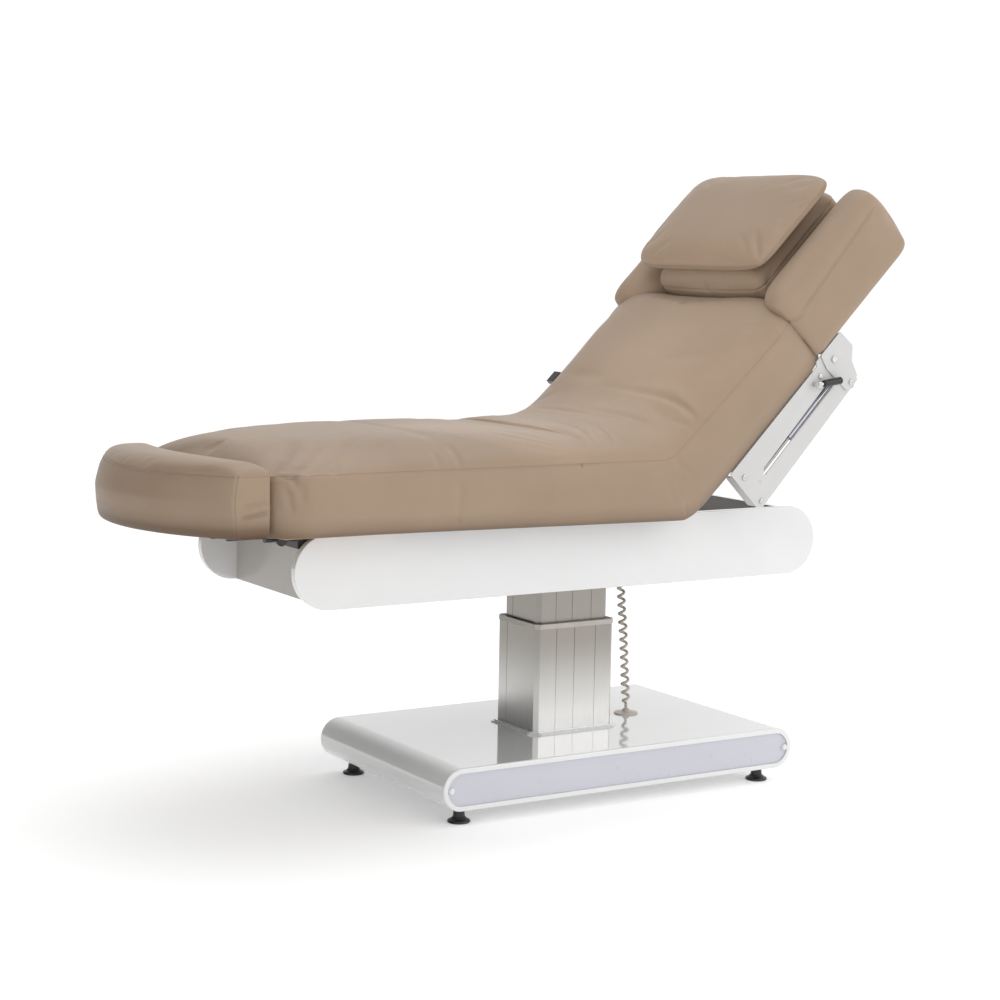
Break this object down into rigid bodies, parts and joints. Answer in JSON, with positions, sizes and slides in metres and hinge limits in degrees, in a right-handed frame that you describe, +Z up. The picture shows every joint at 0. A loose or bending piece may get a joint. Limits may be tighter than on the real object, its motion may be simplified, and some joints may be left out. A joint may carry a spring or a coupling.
{
  "type": "facial treatment bed",
  "caption": "Electric facial treatment bed: tan leatherette cushions on a white capsule-shaped frame, telescopic column and rounded base with light panels; back, head and leg sections hinge",
  "frame": {"origin": "on the floor, under the middle of the whole bed as drawn, foot bolster to head end", "axes": "+X towards the head end, +Y to the far long side, +Z up"},
  "size_m": [1.9458, 0.737, 1.5221],
  "materials": {
    "leatherette": "satin",
    "gloss_white": "gloss",
    "white_metal": "satin",
    "light_panel": "satin",
    "led": "gloss",
    "aluminium": "satin",
    "collar_plastic": "matte",
    "frame_black": "satin",
    "socket_steel": "satin",
    "motor_grey": "matte",
    "bright_steel": "polished",
    "gas_grey": "satin",
    "plywood": "matte",
    "black_plastic": "satin",
    "cord_white": "satin",
    "chrome": "polished"
  },
  "bodies": {
    "base": {"base_shell": "gloss_white", "light_panels": "light_panel", "panel_caps": "gloss_white", "led_strips": "led", "base_chassis": "frame_black", "column_outer": "aluminium", "column_collar": "collar_plastic", "column_foot_trim": "gloss_white", "lift_motor": "motor_grey", "cord_grommet": "cord_white", "curly_cord": "cord_white"},
    "upper": {"column_inner": "aluminium", "lift_spindle": "bright_steel", "column_head_plate": "frame_black", "subframe": "frame_black", "side_panel_near": "gloss_white", "side_panel_far": "gloss_white", "foot_panel": "gloss_white", "head_panel": "gloss_white", "seat_frame": "frame_black", "hinge_pins": "bright_steel", "seat_board": "plywood", "mattress_seat": "leatherette", "control_box": "motor_grey", "cord_gland": "black_plastic", "back_actuator": "motor_grey", "leg_actuator": "motor_grey"},
    "leg_section": {"leg_frame": "frame_black", "leg_board": "plywood", "mattress_leg": "leatherette", "rod_sockets": "socket_steel"},
    "knob_near": {"clamp_knob_near": "black_plastic"},
    "knob_far": {"clamp_knob_far": "black_plastic"},
    "bolster": {"foot_bolster": "leatherette", "bolster_rods": "frame_black"},
    "back_section": {"back_frame": "frame_black", "back_board": "plywood", "mattress_back": "leatherette", "side_plate_near": "white_metal", "side_plate_far": "white_metal", "plate_bolts": "bright_steel", "gas_rods": "bright_steel"},
    "head_section": {"head_board": "plywood", "head_plate_near": "white_metal", "head_plate_far": "white_metal", "wing_near": "leatherette", "wing_far": "leatherette", "head_cushion": "leatherette", "stop_screws": "bright_steel"},
    "pillow_body": {"pillow": "leatherette"},
    "gas_cylinder_pair": {"gas_cylinders": "gas_grey"},
    "lever": {"release_lever": "chrome", "lever_grip": "black_plastic"},
    "back_ram": {"back_actuator_rod": "bright_steel"},
    "leg_ram": {"leg_actuator_rod": "bright_steel"},
    "foot_foot_end_near": {"levelling_foot_foot_end_near": "black_plastic"},
    "foot_foot_end_far": {"levelling_foot_foot_end_far": "black_plastic"},
    "foot_head_end_near": {"levelling_foot_head_end_near": "black_plastic"},
    "foot_head_end_far": {"levelling_foot_head_end_far": "black_plastic"}
  },
  "joints": [
    {"name": "column_lift", "type": "slide", "parent": "base", "child": "upper", "axis": [0, 0, 1], "range_m": [-0.16, 0.06], "deforming": ["curly_cord"]},
    {"name": "leg_rise", "type": "hinge", "parent": "upper", "child": "leg_section", "pos_m": [-0.306, 0, 0.67], "axis": [0, 1, 0], "range_deg": [0, 30]},
    {"name": "bolster_reach", "type": "slide", "parent": "leg_section", "child": "bolster", "axis": [-1, 0, 0], "range_m": [0, 0.08]},
    {"name": "knob_near_turn", "type": "hinge", "parent": "leg_section", "child": "knob_near", "pos_m": [-0.676, -0.215, 0.672], "axis": [0, -1, 0], "range_deg": [0, 180]},
    {"name": "knob_far_turn", "type": "hinge", "parent": "leg_section", "child": "knob_far", "pos_m": [-0.676, 0.215, 0.672], "axis": [0, 1, 0], "range_deg": [0, 180]},
    {"name": "back_recline", "type": "hinge", "parent": "upper", "child": "back_section", "pos_m": [0.364, 0, 0.67], "axis": [0, -1, 0], "range_deg": [-45, 20]},
    {"name": "head_tilt", "type": "hinge", "parent": "back_section", "child": "head_section", "pos_m": [0.75503, 0, 1.05113], "axis": [0, 1, 0], "range_deg": [0, 35]},
    {"name": "pillow_shift", "type": "slide", "parent": "head_section", "child": "pillow_body", "axis": [0.7071, 0, 0.7071], "range_m": [-0.03, 0.04]},
    {"name": "gas_cylinder_slide", "type": "slide", "parent": "back_section", "child": "gas_cylinder_pair", "axis": [-0.6974, 0, -0.7167], "range_m": [0, 0.032]},
    {"name": "lever_pull", "type": "hinge", "parent": "back_section", "child": "lever", "pos_m": [0.69917, -0.368, 0.99103], "axis": [0, 1, 0], "range_deg": [0, 25], "stiffness_Nm_per_rad": 1},
    {"name": "back_ram_slide", "type": "slide", "parent": "upper", "child": "back_ram", "axis": [1, 0, 0], "range_m": [-0.047, 0.021]},
    {"name": "leg_ram_slide", "type": "slide", "parent": "upper", "child": "leg_ram", "axis": [-1, 0, 0], "range_m": [0, 0.032]},
    {"name": "foot_foot_end_near_screw", "type": "slide", "parent": "base", "child": "foot_foot_end_near", "axis": [0, 0, -1], "range_m": [0, 0.02]},
    {"name": "foot_foot_end_far_screw", "type": "slide", "parent": "base", "child": "foot_foot_end_far", "axis": [0, 0, -1], "range_m": [0, 0.02]},
    {"name": "foot_head_end_near_screw", "type": "slide", "parent": "base", "child": "foot_head_end_near", "axis": [0, 0, -1], "range_m": [0, 0.02]},
    {"name": "foot_head_end_far_screw", "type": "slide", "parent": "base", "child": "foot_head_end_far", "axis": [0, 0, -1], "range_m": [0, 0.02]}
  ],
  "couplings": [
    {"joint": "gas_cylinder_slide", "follows": "head_tilt", "m_per_rad": 0.05},
    {"joint": "back_ram_slide", "follows": "back_recline", "m_per_rad": 0.0587},
    {"joint": "leg_ram_slide", "follows": "leg_rise", "m_per_rad": 0.0593}
  ]
}
